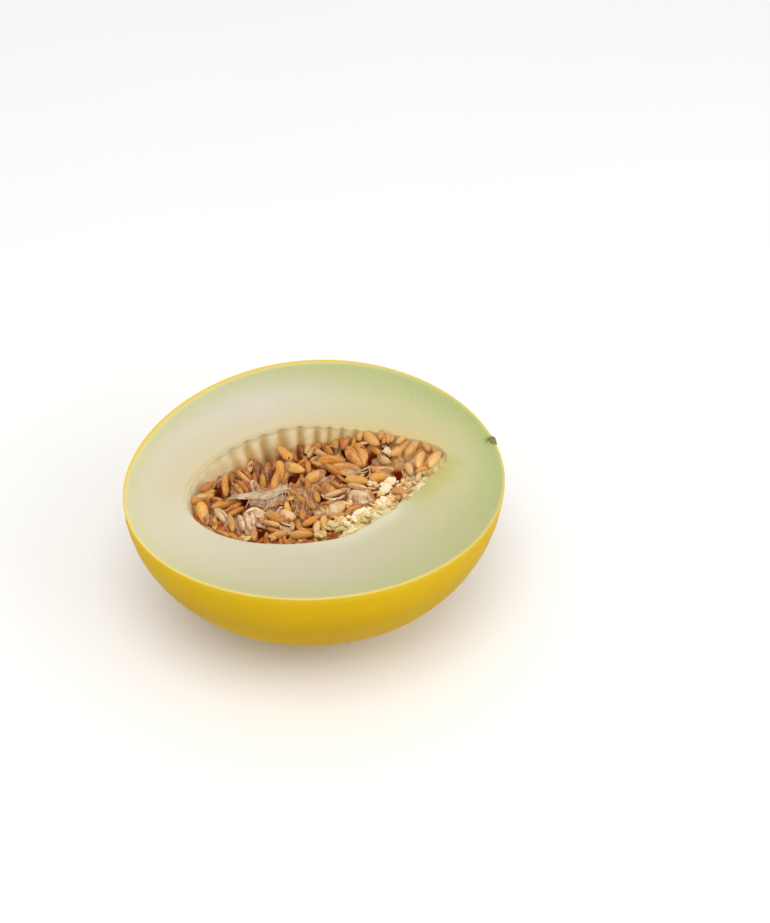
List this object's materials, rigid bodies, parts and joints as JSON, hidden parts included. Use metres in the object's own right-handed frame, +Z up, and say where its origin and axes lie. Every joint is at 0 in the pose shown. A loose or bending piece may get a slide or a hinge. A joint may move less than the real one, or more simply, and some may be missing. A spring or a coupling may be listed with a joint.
{
  "type": "canary melon half",
  "caption": "Canary melon cut lengthwise in half: smooth yellow rind, pale green-white flesh and a seed cavity filled with fibrous pulp and loose tan seeds.",
  "frame": {"origin": "middle of the fruit's outline, on the surface that the half rests on, at the flat spot of its belly", "axes": "+X along the fruit's own axis towards the stem end, +Y across it, +Z up, square to the level cut face"},
  "size_m": [0.176, 0.1586, 0.0765],
  "materials": {
    "rind_and_flesh": "satin",
    "seed_pulp": "moist",
    "seed": "moist"
  },
  "bodies": {
    "root": {"melon_half": "rind_and_flesh", "seed_pulp": "seed_pulp", "seed_01": "seed", "seed_02": "seed", "seed_03": "seed", "seed_04": "seed", "seed_05": "seed", "seed_06": "seed", "seed_07": "seed", "seed_08": "seed", "seed_09": "seed", "seed_10": "seed", "seed_11": "seed", "seed_12": "seed", "seed_13": "seed", "seed_14": "seed", "seed_15": "seed", "seed_16": "seed", "seed_17": "seed", "seed_18": "seed", "seed_19": "seed", "seed_20": "seed", "seed_21": "seed", "seed_22": "seed", "seed_23": "seed", "seed_24": "seed", "seed_25": "seed", "seed_26": "seed", "seed_27": "seed", "seed_28": "seed", "seed_29": "seed", "seed_30": "seed", "seed_31": "seed", "seed_32": "seed", "seed_33": "seed", "seed_34": "seed", "seed_35": "seed", "seed_36": "seed", "seed_37": "seed", "seed_38": "seed", "seed_39": "seed", "seed_40": "seed", "seed_41": "seed", "seed_42": "seed", "seed_43": "seed", "seed_44": "seed", "seed_45": "seed", "seed_46": "seed", "seed_47": "seed", "seed_48": "seed", "seed_49": "seed", "seed_50": "seed", "seed_51": "seed", "seed_52": "seed", "seed_53": "seed", "seed_54": "seed"}
  },
  "joints": []
}
